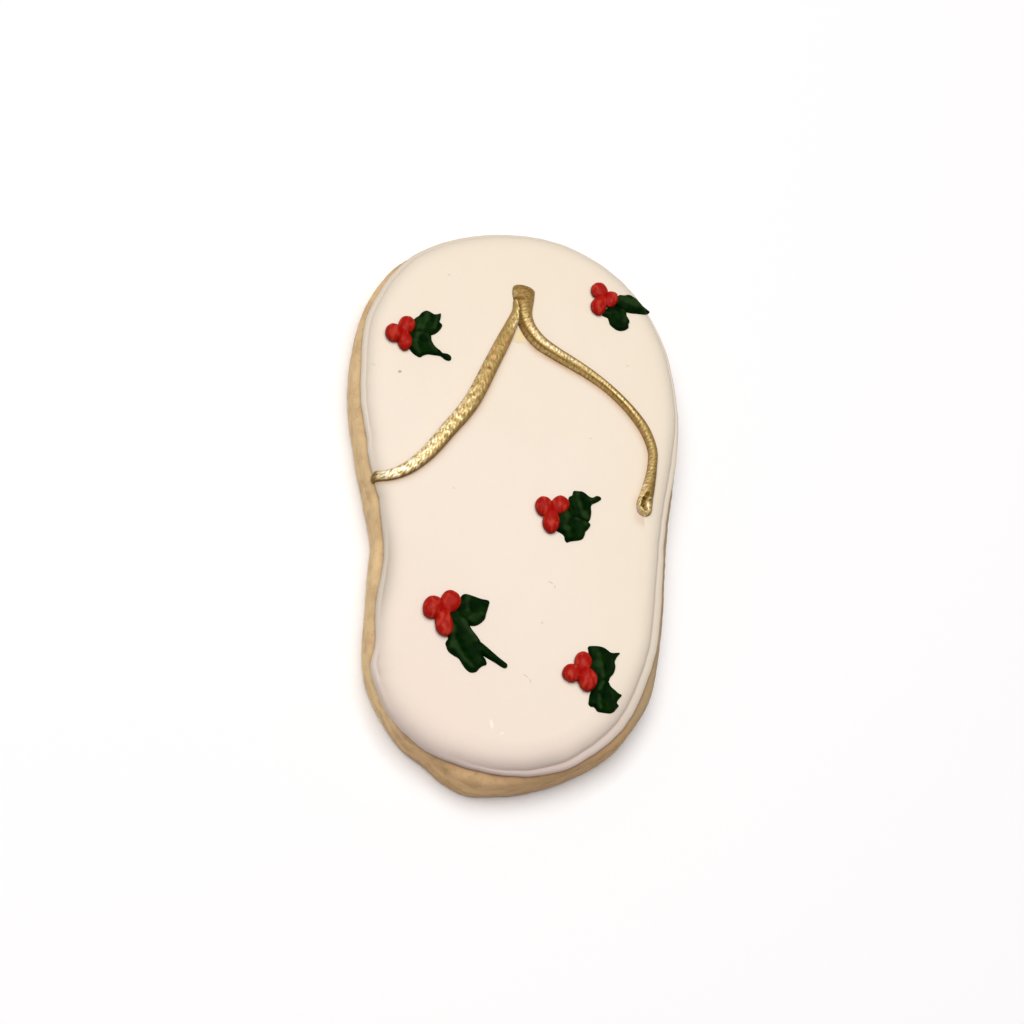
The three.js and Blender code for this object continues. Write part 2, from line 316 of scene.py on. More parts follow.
def doughMaterial():
    material, tree, shader = newMaterial("bakedDough", {
        "Roughness": 0.82, "Specular IOR Level": 0.25, "Subsurface Weight": 0.08,
        "Subsurface Radius": (1.0, 0.5, 0.25), "Subsurface Scale": 0.0012})
    x, y, z = placeAxes(tree)
    brown = times(tree, remap(tree, x, -10, 6), remap(tree, y, 0, -36))
    side = times(tree, remap(tree, x, 15, 23), remap(tree, y, -46, -36))
    toHeel = remap(tree, y, -30, -42, *biscuit["layerShares"])
    layer = remap(tree, grain(tree, 3.2, stretch=(1, 1, 2.2)), 0.46, 0.64)
    lightLayer = remap(tree, grain(tree, 2.8, stretch=(1, 1, 2.2)), 0.44, 0.28)
    # small pits, sunk by the bump and painted darker as shade in them
    pits = remap(tree, grain(tree, 0.35), 0.62, 0.76, 0.0, 0.3)
    colour = layTones(
        tree, biscuit["wallTone"], biscuit,
        top=remap(tree, z, 4.6, 6.2),
        foot=remap(tree, z, 2.2, 0.2),
        # painted light: paler towards the left side
        pale=remap(tree, x, -14, -24, 0.0, 0.85),
        # painted shade: browner towards the right of the heel, greyer along the right side
        heel=times(tree, brown, biscuit["heelShare"]),
        side=times(tree, side, biscuit["sideShare"]),
        blush=remap(tree, grain(tree, 5.0), 0.55, 0.72, 0.0, 0.55),
        mottle=remap(tree, grain(tree, 2.4), 0.42, 0.7, 0.0, 0.4),
        layer=times(tree, layer, toHeel),
        lightLayer=times(tree, lightLayer, toHeel),
        # painted shade beside the icing
        contact=times(tree, readAttribute(tree, "contact"), biscuit["contactShare"]),
        # painted shade in the small holes and pits
        pore=combine(tree, "MAXIMUM", pits, times(tree, readAttribute(tree, "pore"), 0.35)))
    tree.links.new(colour, shader.inputs["Base Color"])
    rough = combine(tree, "ADD", grain(tree, 0.5, detail=6.0), times(tree, pits, -0.6))
    addBump(tree, shader, rough, 0.05, 0.4)
    return material


icing = {
    # landmarks of the spread icing, anticlockwise from the heel; then how far the piped lip still
    # stands out of the flood there (0 to 1), the lip's width, and how strong the painted shade on the edge is
    "landmarks": [
        (-0.5, -48.9, 0.8, 0.75, 0.95), (4.7, -48.1, 0.95, 1, 0.9), (9.3, -46.35, 1, 1.15, 0.6),
        (17.75, -39.1, 1, 1.4, 0.42), (23.05, -27, 1, 1.35, 0.4), (24.35, -19.5, 1, 1.35, 0.35),
        (24.95, -12.1, 1, 1.2, 0.35), (25.4, -5.2, 1, 0.95, 0.4), (26.4, 1.5, 1, 0.95, 0.4),
        (27.75, 8.4, 1, 1, 0.4), (28.45, 15.6, 0.9, 0.75, 0.45), (28.35, 20.5, 0.8, 0.55, 0.45),
        (25.95, 33, 0.7, 0.5, 0.45), (18.6, 44.3, 0.6, 0.5, 0.5), (6.8, 50.35, 0.6, 0.6, 0.5),
        (-7.15, 49.8, 0.7, 0.7, 0.5), (-19, 43.9, 0.85, 0.8, 0.5), (-26.15, 32.15, 0.8, 0.85, 0.45),
        (-27.2, 20.5, 0.75, 0.85, 0.4), (-26.95, 14.2, 0.7, 0.85, 0.4), (-25.95, 8.7, 0.5, 0.7, 0.5),
        (-25.75, 5.9, 0.35, 0.6, 0.6), (-25.2, 3.4, 0.2, 0.6, 0.7), (-24, -1.2, 0, 0.6, 0.9),
        (-23.05, -6.8, 0.1, 0.6, 1), (-22.55, -12.6, 0.6, 0.6, 1.2), (-23.35, -19, 0.8, 0.85, 1.2),
        (-23.75, -22.8, 0.4, 0.8, 1), (-23.6, -26.5, 0.1, 0.7, 0.7), (-23.05, -35.9, 0.2, 0.9, 0.5),
        (-20, -41.35, 0, 0.6, 0.7), (-14.95, -45.65, 0, 0.6, 0.9), (-8.1, -48.2, 0.4, 0.5, 1)],
    # inset from the outline and rise above the biscuit, where the flood runs over the lip
    "flooded": [
        (0.2, -0.04), (0.05, 0.12), (0, 0.36), (0.06, 0.7), (0.26, 1.02), (0.6, 1.32), (1.05, 1.58),
        (1.65, 1.81), (2.4, 1.99), (3.3, 2.11), (4.4, 2.17)],
    # the same where the lip stands out: a flat round bead, a soft groove, a broad shoulder
    "lipped": [
        (0.2, -0.04), (0.04, 0.12), (0, 0.34), (0.08, 0.58), (0.3, 0.74), (0.6, 0.78), (0.86, 0.72),
        (1, 0.72), (1.12, 0.92), (1.3, 1.22), (1.6, 1.52), (2.1, 1.82), (2.9, 2.05), (4.4, 2.17)],
    # small swellings and nicks of the edge: x, y, outward reach, half length, lip
    "swellings": [
        (-23.6, -32.3, 0.65, 2.6, 0.7), (-24.4, -2.6, -0.3, 0.9, 0), (-24.9, 0.2, 0.2, 0.9, 0)],
    "around": 840,
    "profileSteps": 48,
    "innerSteps": 56,
    "crown": 0.06,        # the middle stands a little above the shoulder
    "waver": 0.03,        # slow hills and hollows of the surface
    "shoulderReach": 1.6,      # how far in the painted shade on the edge reaches
    "heelShoulderReach": 2.45,
    "grooveShare": 0.12,
    "dustReach": 0.62,
    "creamTone": (241, 228, 213),
    "warmTone": (238, 225, 204),
    "coolTone": (239, 222, 208),
    "edgeShadeTone": (198, 187, 171),   # painted shade on the icing's edge
    "heelEdgeShadeTone": (188, 170, 162),
    # painted shade in the groove behind the lip
    "grooveTone": (186, 166, 160),
    "dustTone": (188, 146, 102),   # gold dust beside the strap, with painted shadow and painted reflection of the gold
}

spread = smoothCurve(icing["landmarks"], icing["around"], closed=True)
icingBase, lipShare, lipWidth, edgeGrey = np.split(spread, [2, 3, 4], axis=1)
lipShare, lipWidth, edgeGrey = np.clip(lipShare[:, 0], 0, 1), lipWidth[:, 0], edgeGrey[:, 0]
icingNormal = outwards(icingBase)
reach = 0.04 * ripple(icingBase, 4.0, 11)
for x, y, outward, halfLength, lip in icing["swellings"]:
    closeness = np.exp(-np.sum((icingBase - [x, y]) ** 2, axis=1) / halfLength ** 2)
    reach = reach + outward * closeness
    lipShare = np.maximum(lipShare, lip * smoothStep(0.0, 0.9, closeness))
icingOutline = icingBase + icingNormal * reach[:, None]


# Slow unevenness of the icing's top.
def icingWaver(xy):
    return icing["waver"] * (ripple(xy, 14.0, 12) + 0.5 * ripple(xy, 6.0, 13))


# Height of the icing's top at any point: the profile read at the distance to the edge.
def icingTopAt(xy):
    distance, index = nearest(xy, icingOutline)
    outward = np.sum((xy - icingOutline[index]) * icingNormal[index], axis=-1)
    distance = np.where(outward < 0, distance, -distance)
    flooded, lipped = np.array(icing["flooded"])[2:], np.array(icing["lipped"])[2:]
    share, width = lipShare[index], lipWidth[index]
    lipDistance = np.where(distance < width, distance / width, distance - width + 1)
    rise = ((1 - share) * np.interp(distance, *flooded.T, left=0.2)
            + share * np.interp(lipDistance, *lipped.T, left=0.2))
    return biscuitThick + rise + (icing["crown"] * smoothStep(3, 14, distance)
                                  + icingWaver(xy) * smoothStep(1, 4, distance))


# Gold dust that ran onto the icing beside the strands, laid with painted shadow and painted reflection
# of the gold: it fades with the distance to a strand's side, and there is more of it on the outer side,
# at the left strand's left and the right strand's right.
def goldDustAndShadow(points):
    dust = np.zeros(len(points))
    steps = 160
    for side, strand in ((-1, leftStrand), (1, rightStrand)):
        path = smoothCurve(strand["path"], steps)
        tangent = np.gradient(path[:, :2], axis=0)
        away, index = nearest(points, path[:, :2])
        gap = points - path[index, :2]
        hand = np.sign(gap[:, 0] * tangent[index, 1] - gap[:, 1] * tangent[index, 0])
        amount = along(strand["dustAlong"], index / (steps - 1)) * (0.55 + 0.45 * hand * side)
        beyond = np.maximum(away - path[index, 2] / 2, 0)
        dust = np.maximum(dust, amount * np.exp(-(beyond / icing["dustReach"]) ** 1.5))
    return dust


# The edge profile is mixed from the flooded and the lipped one by the lip's share, the lip part
# widened to the lip's width; its foot follows the biscuit's rounded rim. Swellings fade out with
# the inset. Inside the profile the rings shrink towards the middle, on the crowned top.
def makeIcing(material):
    steps = icing["profileSteps"]
    flooded = smoothCurve(icing["flooded"], steps)[:, None]
    lipped = smoothCurve(icing["lipped"], steps)[:, None]
    lipInset = np.minimum(lipped[..., 0], 1) * lipWidth + np.maximum(lipped[..., 0] - 1, 0)
    inset = flooded[..., 0] * (1 - lipShare) + lipInset * lipShare
    rise = flooded[..., 1] * (1 - lipShare) + lipped[..., 1] * lipShare
    fadeOut = 1 - smoothStep(0.6, 3.6, inset)
    xy = icingBase[None] + icingNormal[None] * (reach * fadeOut - inset)[..., None]
    rimInset = nearest(icingOutline, biscuitOutline)[0] + 0.15
    topEdge = np.array(biscuit["profile"][5:])
    drop = biscuitThick - np.interp(rimInset, *topEdge.T)
    z = biscuitThick + rise - drop[None] * (1 - smoothStep(0.0, 0.7, rise))
    z = z + icingWaver(xy) * smoothStep(1.2, 2.1, rise)
    edge = np.dstack([xy, z])
    shrink = np.linspace(0, 1, icing["innerSteps"] + 2)[1:-1] ** 0.9
    inner = xy[-1][None] * (1 - shrink[:, None, None])
    innerInset = inset[-1].mean() + nearest(inner, xy[-1])[0]
    innerZ = (biscuitThick + rise[-1].mean() + icing["crown"] * smoothStep(3, 14, innerInset)
              + icingWaver(inner))
    grid = np.concatenate([edge, np.dstack([inner, innerZ])])
    middle = (0, 0, grid[-1, :, 2].mean())
    # painted shade on the edge: even on the lip, and on the shoulder fading with the distance from the groove
    # behind the lip
    fromGroove = np.maximum(inset - lipShare * lipWidth, 0)
    towardsHeel = smoothStep(-24, -42, icingBase[:, 1])
    shadeReach = icing["shoulderReach"] * (1 - towardsHeel) + icing["heelShoulderReach"] * towardsHeel
    shoulder = edgeGrey * (1 - 0.25 * edgeGrey) * np.exp(-(fromGroove / shadeReach) ** 1.6)
    edgeShade = np.where(fromGroove > 0, shoulder, np.minimum(0.45 + 0.4 * edgeGrey, 1))
    # a painted shade line in the groove behind the lip
    groove = np.exp(-((lipped[..., 0] - 1.0) / 0.2) ** 2) * smoothStep(0.15, 0.8, lipShare)
    calm = np.zeros(inner.shape[:2])
    layers = {"dust": withPoles(goldDustAndShadow(grid[..., :2].reshape(-1, 2))),
              "edgeShade": withPoles(np.concatenate([edgeShade, calm]), 1, 0),
              "groove": withPoles(np.concatenate([groove, calm]))}
    made = shellObject("floodIcing", [(grid, (0, 0, biscuitThick - 0.04), middle)], material, layers)
    placePiece(made, "white_icing", "icing")


# Small marks in the icing: x, y, length, width, turn in degrees, colour, strength.
icingMarks = [
    (-20.9, 20.4, 0.62, 0.5, 20, (176, 140, 112), 0.75),
    (-12.6, 40.3, 0.6, 0.4, 0, (214, 198, 178), 0.6),
    (-25.3, 21.4, 0.8, 0.35, -30, (214, 202, 190), 0.6),
    (19.1, 26.5, 0.7, 0.35, 15, (214, 198, 160), 0.5),
    (12.3, 11.7, 0.5, 0.35, 0, (218, 202, 180), 0.5),
    (-11.4, -0.2, 0.5, 0.4, 0, (220, 206, 186), 0.5),
    (3.6, -22.9, 0.45, 0.35, 0, (206, 190, 176), 0.5),
    (5.1, -15.6, 0.9, 0.2, -25, (186, 172, 160), 0.6),
    (5.8, -16.3, 0.7, 0.18, -75, (186, 172, 160), 0.5),
    (0.8, -32.4, 1, 0.2, -30, (190, 178, 168), 0.6),
    (1.6, -33.2, 0.8, 0.2, -70, (190, 178, 168), 0.5),
    (-4.8, -41.1, 1.5, 0.5, 100, (252, 242, 232), 0.8),
    (-3.1, -42.5, 0.7, 0.35, 20, (252, 242, 232), 0.7),
]


def icingMaterial():
    material, tree, shader = newMaterial("whiteIcing", {
        "Roughness": 0.5, "Specular IOR Level": 0.3, "Subsurface Weight": 0.12,
        "Subsurface Radius": (1.0, 0.7, 0.5), "Subsurface Scale": 0.0015})
    x, y = placeAxes(tree)[:2]
    warm = combine(tree, "MAXIMUM", remap(tree, y, -10, 50, 0.0, 0.8), remap(tree, x, 0, 26, 0.0, 0.8))
    cool = remap(tree, combine(tree, "ADD", x, y), -10, -55, 0.0, 0.9)
    colour = layTones(tree, icing["creamTone"], icing, warm=warm, cool=cool)
    cloud = remap(tree, grain(tree, 9.0), 0.4, 0.7, 0.0, 0.25)
    colour = mixColour(tree, cloud, colour, icing["warmTone"])
    # painted shade on the icing's edge, in its own tone towards the heel
    edgeShadeColour = mixColour(tree, remap(tree, y, -24, -42), icing["edgeShadeTone"], icing["heelEdgeShadeTone"])
    colour = mixColour(tree, readAttribute(tree, "edgeShade"), colour, edgeShadeColour)
    # painted shade in the groove behind the lip
    groove = times(tree, readAttribute(tree, "groove"), icing["grooveShare"])
    # gold dust beside the strap, with painted shadow and painted reflection
    colour = layTones(tree, colour, icing, groove=groove, dust=readAttribute(tree, "dust"))
    for x, y, length, width, turn, tone, strength in icingMarks:
        local = addNode(tree, "Mapping", {
            "Vector": objectPlace(tree), "Location": (x * mm, y * mm, (biscuitThick + icingRise) * mm),
            "Rotation": (0, 0, np.radians(turn)), "Scale": (length * mm / 2, width * mm / 2, 1.0)},
            vector_type="TEXTURE").outputs["Vector"]
        away = addNode(tree, "VectorMath", {0: local}, operation="LENGTH").outputs["Value"]
        colour = mixColour(tree, remap(tree, away, 1.5, 0.5, 0.0, strength), colour, tone)
    tree.links.new(colour, shader.inputs["Base Color"])
    fine = combine(tree, "ADD", grain(tree, 1.2, detail=2.0), times(tree, grain(tree, 0.3), 0.25))
    addBump(tree, shader, fine, 0.02, 0.35)
    return material


# Each strand's path: x, y, width, height. Rows of painted shade and dark reflection, and rows of painted
# highlight with polish, in percent, run over the crown from the side on the right hand, walking along the
# path, to the other; each is given at a share of the length.
leftStrand = {
    "path": [
        (-0.4, 37.5, 1.3, 0.6), (-0.55, 36.3, 1.45, 0.9), (-0.66, 34.6, 1.6, 1.05),
        (-1.65, 31.7, 2.15, 1.15), (-2.85, 28.85, 2.5, 1.2), (-4.72, 24.6, 2.65, 1.2),
        (-8.68, 15.85, 2.8, 1.2), (-12.45, 10.4, 2.7, 1.2), (-16.15, 5.4, 2.5, 1.15),
        (-19.65, 2.2, 2.15, 1.1), (-22.4, 0.95, 1.85, 1.05), (-25, 0.95, 1.8, 1)],
    "blunt": (0.5, 0.35),  # over how much of the width each end is rounded
    "boxy": 0.7,           # below 1 the section is flatter on top
    "steps": 620,
    "chip": 1.05, "chipDepth": 0.06, "crackDepth": 0.035, "seed": 21,
    "slant": [[0.66, 0.69], [1.56, -0.29]],  # direction and fineness of the wrinkles
    "streak": 0.62,     # how far they show in the painted highlight
    "shadeAcross": {
        0.0: [80, 40, 20, 10, 10, 10, 10, 10, 30],
        0.15: [80, 35, 20, 10, 0, 0, 0, 0, 30],
        0.2: [80, 35, 15, 10, 15, 15, 20, 40, 40],
        0.3: [80, 30, 10, 5, 10, 15, 30, 50, 40],
        0.7: [80, 25, 0, 0, 0, 10, 50, 70, 60],
        0.97: [80, 40, 10, 0, 0, 0, 10, 70, 60],
        1.0: [100, 100, 90, 90, 90, 90, 90, 100, 100]},
    "highlightAndPolishAcross": {
        0.0: [0, 0, 10, 20, 50, 60, 60, 50, 20],
        0.12: [0, 0, 5, 10, 40, 80, 90, 80, 50],
        0.18: [0, 10, 15, 10, 5, 10, 10, 0, 0],
        0.36: [0, 30, 40, 30, 25, 10, 0, 0, 0],
        0.5: [0, 80, 80, 60, 50, 30, 10, 0, 0],
        0.75: [0, 90, 100, 90, 85, 60, 20, 0, 0],
        0.97: [0, 30, 80, 130, 140, 140, 110, 20, 0],
        1.0: [0, 0, 0, 0, 10, 10, 0, 0, 0]},
    "dustAlong": [0.1, 0.1, 0.4, 0.6, 0.6, 0.6, 0.6],
}

rightStrand = {
    "path": [
        (0.78, 39.78, 3.7, 1.15), (0.58, 38.5, 4, 1.2), (0.6, 36.9, 3.65, 1.25), (0.6, 35.3, 3.15, 1.3),
        (0.68, 33.85, 2.95, 1.3), (1.05, 32.4, 2.95, 1.3), (1.8, 30.92, 2.9, 1.3),
        (3.45, 29.02, 2.85, 1.25), (6.28, 27.2, 2.55, 1.2), (9.05, 25.7, 2.35, 1.15),
        (12.37, 23.77, 2.05, 1.1), (15.75, 21.34, 1.75, 1.1), (19.27, 17.9, 1.75, 1.1),
        (21.8, 14.4, 1.85, 1.1), (23.13, 10.55, 1.7, 1.1), (22.98, 7.15, 1.7, 1.1), (22.28, 3.45, 2.2, 1.2),
        (21.85, 1.68, 2.45, 1.3), (21.5, 0.3, 2.75, 1.4), (21.45, -1.9, 2.5, 1.1)],
    "blunt": (0.2, 0.5),
    "boxy": 0.9,
    "steps": 760,
    "leanAlong": [0, 0.1, 0.05, 0, 0],
    "chip": 0.7, "chipDepth": 0.03, "crackDepth": 0.015, "seed": 22,
    "slant": [[1.3, 0.35], [-0.85, 0.6]], "streak": 0.4,
    "shadeAcross": {
        0.0: [90, 60, 50, 50, 60, 60, 50, 50, 60, 80],
        0.05: [90, 30, 30, 45, 45, 40, 40, 40, 50, 80],
        0.1: [100, 100, 100, 70, 10, 25, 30, 35, 50, 80],
        0.2: [60, 15, 10, 95, 20, 0, 40, 50, 60, 70],
        0.38: [70, 20, 0, 60, 30, 0, 45, 60, 60, 70],
        0.56: [40, 20, 30, 80, 0, 50, 80, 80, 80, 80],
        0.7: [50, 30, 30, 10, 30, 40, 50, 55, 60, 60],
        0.8: [50, 30, 20, 10, 15, 30, 50, 70, 80, 80],
        0.92: [50, 20, 10, 10, 30, 50, 75, 80, 90, 90],
        1.0: [50, 10, 0, 10, 10, 10, 20, 40, 70, 80]},
    "highlightAndPolishAcross": {
        0.0: [0, 0, 0, 5, 0, 0, 0, 0, 0, 0],
        0.05: [0, 50, 30, 5, 0, 0, 0, 0, 0, 0],
        0.09: [0, 0, 0, 5, 30, 10, 0, 0, 0, 0],
        0.14: [0, 0, 0, 0, 50, 60, 10, 0, 0, 0],
        0.2: [0, 30, 35, 0, 65, 140, 40, 0, 0, 0],
        0.38: [0, 35, 40, 5, 20, 110, 20, 0, 0, 0],
        0.56: [0, 20, 20, 0, 100, 20, 0, 0, 0, 0],
        0.7: [0, 0, 15, 40, 20, 0, 0, 0, 0, 0],
        0.86: [0, 25, 40, 50, 30, 15, 0, 0, 0, 0],
        0.93: [0, 60, 80, 50, 10, 0, 0, 0, 0, 0],
        1.0: [0, 30, 50, 60, 90, 100, 60, 0, 0, 0]},
    "dustAlong": [0, 0, 0.2, 0.8, 0.9, 0.9, 0.8, 0.75, 0.7, 0.6, 0.5, 0.4, 0.3, 0.3, 0.3],
}

strap = {
    # pits and lifts of the surface: x, y, x, y, lift, width
    "folds": [
        (21.9, 2, 21.2, 1, -0.5, 0.3), (21.2, 1, 20.9, -0.1, -0.7, 0.34),
        (20.9, -0.1, 21.4, -1.1, -0.45, 0.3), (22, 1.05, 22.5, 0.95, 0.3, 0.26),
        (22.2, 0.2, 22.1, -1.2, 0.16, 0.4), (20.6, 1.8, 21.4, 3.6, 0.12, 0.24),
        (-1.2, 36.8, 0.3, 36.8, -0.14, 0.2), (-4, 27, -2.6, 26.4, 0.1, 0.22),
        (22.9, 6.4, 22.2, 5, 0.12, 0.22), (22.6, 4.2, 21.6, 3, 0.12, 0.22)],
    # dark places, laid into the painted shade: x, y, half width, strength
    "darkSpots": [
        (21.8, 1.9, 0.26, 1), (21.3, 1.2, 0.32, 1), (20.95, 0.4, 0.34, 1), (20.95, -0.4, 0.32, 1),
        (21.35, -1, 0.28, 0.8), (-5.7, 22.4, 0.32, 0.8), (-6.5, 21.3, 0.3, 0.5), (-1, 36.8, 0.3, 0.5),
        (-0.3, 36.8, 0.3, 0.5), (0.3, 36.8, 0.3, 0.4)],
    # painted highlights: x, y, half width, strength
    "highlightSpots": [
        (22.1, 1.05, 0.32, 1.1), (22.15, -0.5, 0.5, 0.6), (20.75, 2.3, 0.35, 0.7), (21.3, 3.6, 0.35, 0.8),
        (-1.25, 38, 0.35, 0.6)],
    # places where the white icing shows: x, y, half width
    "bareSpots": [
        (20.1, -0.3, 0.38), (20.05, -0.9, 0.42), (20.3, -1.5, 0.44), (20.8, -2, 0.44), (21.4, -2.3, 0.42),
        (22, -2.3, 0.36)],
    "sectionSteps": 34,
    "sink": 0.06,
    "stiffSteps": 41,   # over how many steps the crown bridges the icing's unevenness
    "goldTone": (171, 143, 80),
    "warmTone": (192, 144, 92),
    # painted highlight, paler gold
    "paleTone": (243, 217, 156),
    "glintTone": (255, 247, 222),
    # painted shade and dark reflection
    "shadeTone": (114, 84, 28),
    "speckTone": (114, 84, 28),
    "bareTone": (206, 186, 166),
}


# Ridges (lift above 0) and valleys, bell-shaped in the distance to a line between two ends.
def foldLift(points, folds):
    lift = np.zeros(points.shape[:-1])
    for x1, y1, x2, y2, height, width in folds:
        start, run = np.array([x1, y1]), np.array([x2 - x1, y2 - y1])
        share = np.clip((points - start) @ run / (run @ run), 0, 1)
        away = np.linalg.norm(points - start - share[..., None] * run, axis=-1)
        lift += height * np.exp(-(away / width) ** 2)
    return lift


# Rows of values across the section, given at shares of the length, mixed between the rows.
def paintRows(rows, share, angle):
    across = np.array([along(values, angle) for values in rows.values()]) / 100
    return np.stack([np.interp(share, list(rows), column) for column in across.T], axis=1)


# A section carried along the path. Over the crown the section's point is (half width * cos a,
# height * sin a), each raised to the boxy power and leaned over sideways; the rest of the ring is the
# flat underside. The foot follows the icing, the crown a stiffer line. Chips are soft noise, cracks
# its zero line. Painted shade and painted highlight are read from rows of values across, mixed along
# the length; more shade is painted into the chips' hollows and the cracks, and spots add to both.
def strandShell(strand):
    path = smoothCurve(strand["path"], strand["steps"])
    path, width, height = path[:, :2], path[:, 2], path[:, 3]
    tangent = np.gradient(path, axis=0)
    tangent /= np.linalg.norm(tangent, axis=1)[:, None]
    length = np.concatenate([[0], np.cumsum(np.linalg.norm(np.diff(path, axis=0), axis=1))])
    share = length / length[-1]
    toEnd = length[-1] - length
    plan = np.clip(np.minimum(length / strand["blunt"][0], toEnd / strand["blunt"][1]) / width, 0.02, 1)
    half = width / 2 * np.sqrt(1 - (1 - plan) ** 2)
    steep = np.clip(np.minimum(length, toEnd) / (0.35 * width), 0.02, 1)
    height = height * np.sqrt(1 - (1 - steep) ** 2)
    angle = np.linspace(0, 1, strap["sectionSteps"])
    across = np.sign(0.5 - angle) * np.abs(np.cos(np.pi * angle)) ** strand["boxy"]
    up = np.sin(np.pi * angle) ** strand["boxy"]
    under = np.linspace(-0.92, 0.92, strap["sectionSteps"] // 3)
    angle = np.concatenate([angle, np.linspace(1, 0, len(under))])
    across = np.concatenate([across, under])
    up = np.concatenate([up, np.zeros(len(under))])
    side = np.stack([tangent[:, 1], -tangent[:, 0]], axis=1)
    lean = along(strand.get("leanAlong", [0]), share)[:, None] * up
    crossing = half[:, None] * (across[None] * (1 - 0.5 * np.abs(lean)) + lean)
    xy = path[:, None] + side[:, None] * crossing[..., None]
    stiff = strap["stiffSteps"]
    padded = np.pad(icingTopAt(path), stiff // 2, mode="edge")
    ridge = np.convolve(padded, np.ones(stiff) / stiff, mode="valid")
    place = np.dstack(np.broadcast_arrays(length[:, None], crossing))
    place = place @ np.array(strand["slant"]) / strand["chip"]
    chips = ripple(place, 1.0, strand["seed"])
    cracks = np.exp(-(ripple(place, 1.3, strand["seed"] + 50) / 0.2) ** 2)
    relief = strand["chipDepth"] * chips - strand["crackDepth"] * cracks
    relief = relief * up * (height / height.max())[:, None] ** 0.5
    relief += foldLift(xy, strap["folds"]) * up
    foot = icingTopAt(xy) - strap["sink"]
    top = ridge[:, None] + height[:, None] + relief
    z = foot * (1 - up) + top * up - 0.04 * (across == under[0])  # the underside dips at one edge
    push = 0.5 * relief * (1 - up) * np.sign(across) * (up > 0)
    xy = xy + side[:, None] * push[..., None]
    # painted shade from the rows, deeper in the chips' hollows and the cracks
    shade = paintRows(strand["shadeAcross"], share, angle)
    shade = shade + 0.25 * smoothStep(0.2, 1.0, -chips) + 0.15 * cracks * up
    # painted highlight from the rows, streaked along the wrinkles; it also sets the polish
    streaks = strand["streak"] * (chips + 0.4 * ripple(place, 0.5, strand["seed"] + 80))
    polish = paintRows(strand["highlightAndPolishAcross"], share, angle) * np.maximum(0.9 + streaks, 0.1)
    for x, y, reach, strength in strap["darkSpots"]:
        shade += strength * bell(xy, x, y, reach)
    for x, y, reach, strength in strap["highlightSpots"]:
        polish += strength * bell(xy, x, y, reach)
    bare = np.max([bell(xy, *spot) for spot in strap["bareSpots"]], axis=0)
    ends = [(*path[i], foot[i].mean() + 0.3 * height[i]) for i in (0, -1)]
    return (np.dstack([xy, z]), *ends), {"shade": np.clip(shade, 0, 1), "bare": bare, "polish": polish}


def makeStrap(material):
    shells, paints = zip(*[strandShell(strand) for strand in (leftStrand, rightStrand)])
    layers = {key: np.concatenate([withPoles(paint[key]) for paint in paints]) for key in paints[0]}
    placePiece(shellObject("goldStrap", shells, material, layers), "gold_icing", "strap")


def goldMaterial():
    material, tree, shader = newMaterial("goldPaint", {"Specular IOR Level": 0.2})
    polish = readAttribute(tree, "polish")
    bare = remap(tree, readAttribute(tree, "bare"), 0.3, 0.8)
    fleck = remap(tree, grain(tree, 0.42), 0.38, 0.6)
    # painted highlight: pale gold, and glint where it is brightest; the same attribute raises the metallic
    # share
    bright = times(tree, polish, combine(tree, "ADD", times(tree, fleck, 0.5), 0.6))
    colour = layTones(
        tree, strap["goldTone"], strap,
        warm=remap(tree, grain(tree, 1.3), 0.5, 0.62, 0.0, 0.7),
        pale=remap(tree, bright, 0.0, 0.85),
        glint=remap(tree, bright, 0.7, 1.25),
        speck=remap(tree, grain(tree, 0.5, detail=2.0), 0.42, 0.3, 0.0, 0.5),
        # painted shade and dark reflection
        shade=remap(tree, readAttribute(tree, "shade"), 0.15, 1.0),
        bare=bare)
    tree.links.new(colour, shader.inputs["Base Color"])
    shine = times(tree, remap(tree, polish, 0.0, 1.0, 0.2, 0.4), combine(tree, "SUBTRACT", 1.0, bare))
    tree.links.new(shine, shader.inputs["Metallic"])
    tree.links.new(remap(tree, grain(tree, 0.5), 0.3, 0.7, 0.36, 0.5), shader.inputs["Roughness"])
    addBump(tree, shader, grain(tree, 0.25, detail=5.0), 0.05, 0.55)
    return material


holly = {
    "berryAround": 64,
    "berryRings": 34,
    "berryWaist": 0.36,    # share of the height up to the widest ring
    "berryTuck": 0.42,     # how far the side is drawn in below it, as a share of a quarter circle
    "berrySink": 0.1,
    "berryOverlap": 0.3,
    "meetingReach": 0.8,
    "leafAround": 260,
    "leafRings": 26,
    "leafHeight": 0.8,
    "leafRound": 0.7,
    "leafLumps": 0.05,
    "leafSink": 0.08,
    "leafFloor": 0.9,      # leaves bridge the edge of the icing at this height over the biscuit
    "redTone": (164, 18, 7),
    "brightRedTone": (190, 54, 36),
    # painted shade towards the foot of each berry
    "deepRedTone": (122, 5, 2),
    "meetingTone": (168, 11, 4),
    "greenTone": (8, 36, 1),
    "deepGreenTone": (0, 23, 0),
    # painted highlight on the raised folds
    "paleGreenTone": (38, 62, 26),
}

# Berries: x, y, radius across, radius along, turn in degrees, height.
# Leaves: an outline of points, anticlockwise; folds as two ends, lift and width; a tail on some.
sprigs = {}

